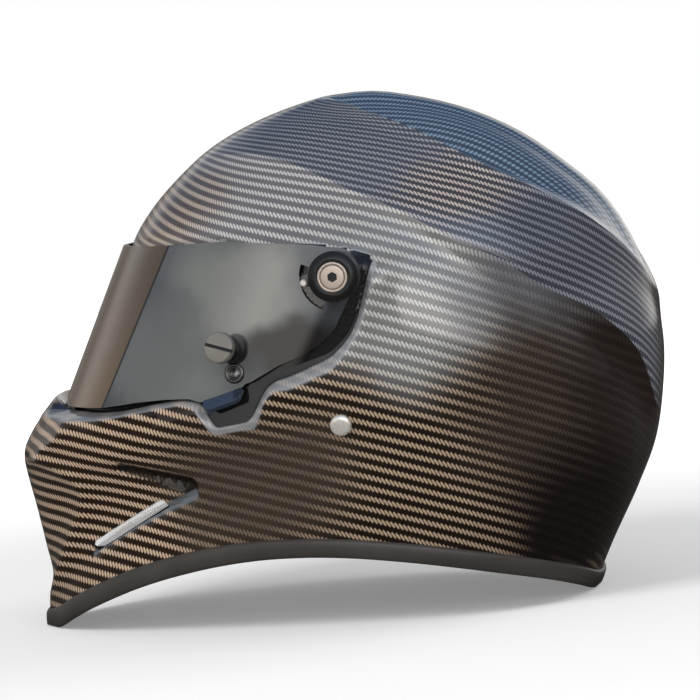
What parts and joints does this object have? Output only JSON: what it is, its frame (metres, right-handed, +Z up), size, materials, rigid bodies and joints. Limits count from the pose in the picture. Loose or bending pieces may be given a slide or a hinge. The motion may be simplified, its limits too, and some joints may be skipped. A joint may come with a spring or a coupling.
{
  "type": "full-face racing helmet",
  "caption": "Full-face racing helmet with woven-fibre shell, side ledges, hinged mirror visor, chin vents, rubber edge trim, padded lining and ring-closed chin strap.",
  "frame": {"origin": "on the surface the helmet stands on, under the middle of its bounding box", "axes": "-Y is the way the wearer looks, +X is the wearer's left, +Z is up"},
  "size_m": [0.2686, 0.3449, 0.27],
  "materials": {
    "carbon_shell": "gloss",
    "rubber_trim": "matte",
    "visor_sheet": "polished",
    "black_metal": "satin",
    "steel": "satin",
    "bright_metal": "polished",
    "bush_plastic": "matte",
    "webbing": "matte",
    "liner_foam": "matte",
    "lining_cloth": "matte"
  },
  "bodies": {
    "helmet": {"outer_shell": "carbon_shell", "edge_trim": "rubber_trim", "eyeport_gasket": "rubber_trim", "pivot_cap_left": "black_metal", "pivot_cap_right": "black_metal", "cup_washer_left": "steel", "cup_washer_right": "steel", "pivot_screw_left": "steel", "pivot_screw_right": "steel", "pivot_bush_left": "bush_plastic", "pivot_bush_right": "bush_plastic", "detent_plate_left": "steel", "detent_plate_right": "steel", "detent_pin_left": "steel", "detent_pin_right": "steel", "pivot_nut_left": "steel", "pivot_nut_right": "steel", "lock_post": "steel", "lock_post_nut": "steel", "chin_vent_mesh_left": "steel", "chin_vent_mesh_right": "steel", "strap_rivet_left": "bright_metal", "strap_rivet_right": "bright_metal", "rivet_washer_left": "steel", "rivet_washer_right": "steel", "eps_liner": "liner_foam", "crown_pad": "lining_cloth", "chin_foam": "liner_foam", "neck_roll": "lining_cloth", "cheek_pad_left": "lining_cloth", "cheek_pad_right": "lining_cloth"},
    "visor": {"visor_lens": "visor_sheet", "knob_screw": "bright_metal", "knob_sleeve": "black_metal", "knob_nut": "bright_metal", "lock_eyelet": "bright_metal"},
    "chin_strap": {"strap_anchor_left": "steel", "strap_anchor_right": "steel", "strap_left": "webbing", "strap_right": "webbing", "d_rings": "steel"}
  },
  "joints": [
    {"name": "visor_hinge", "type": "hinge", "parent": "helmet", "child": "visor", "pos_m": [0, 0.014, 0.18], "axis": [-1, 0, 0], "range_deg": [0, 46]},
    {"name": "strap_swing", "type": "hinge", "parent": "helmet", "child": "chin_strap", "pos_m": [0, 0.0103, 0.1075], "axis": [1, 0, 0], "range_deg": [-25, 25]}
  ]
}
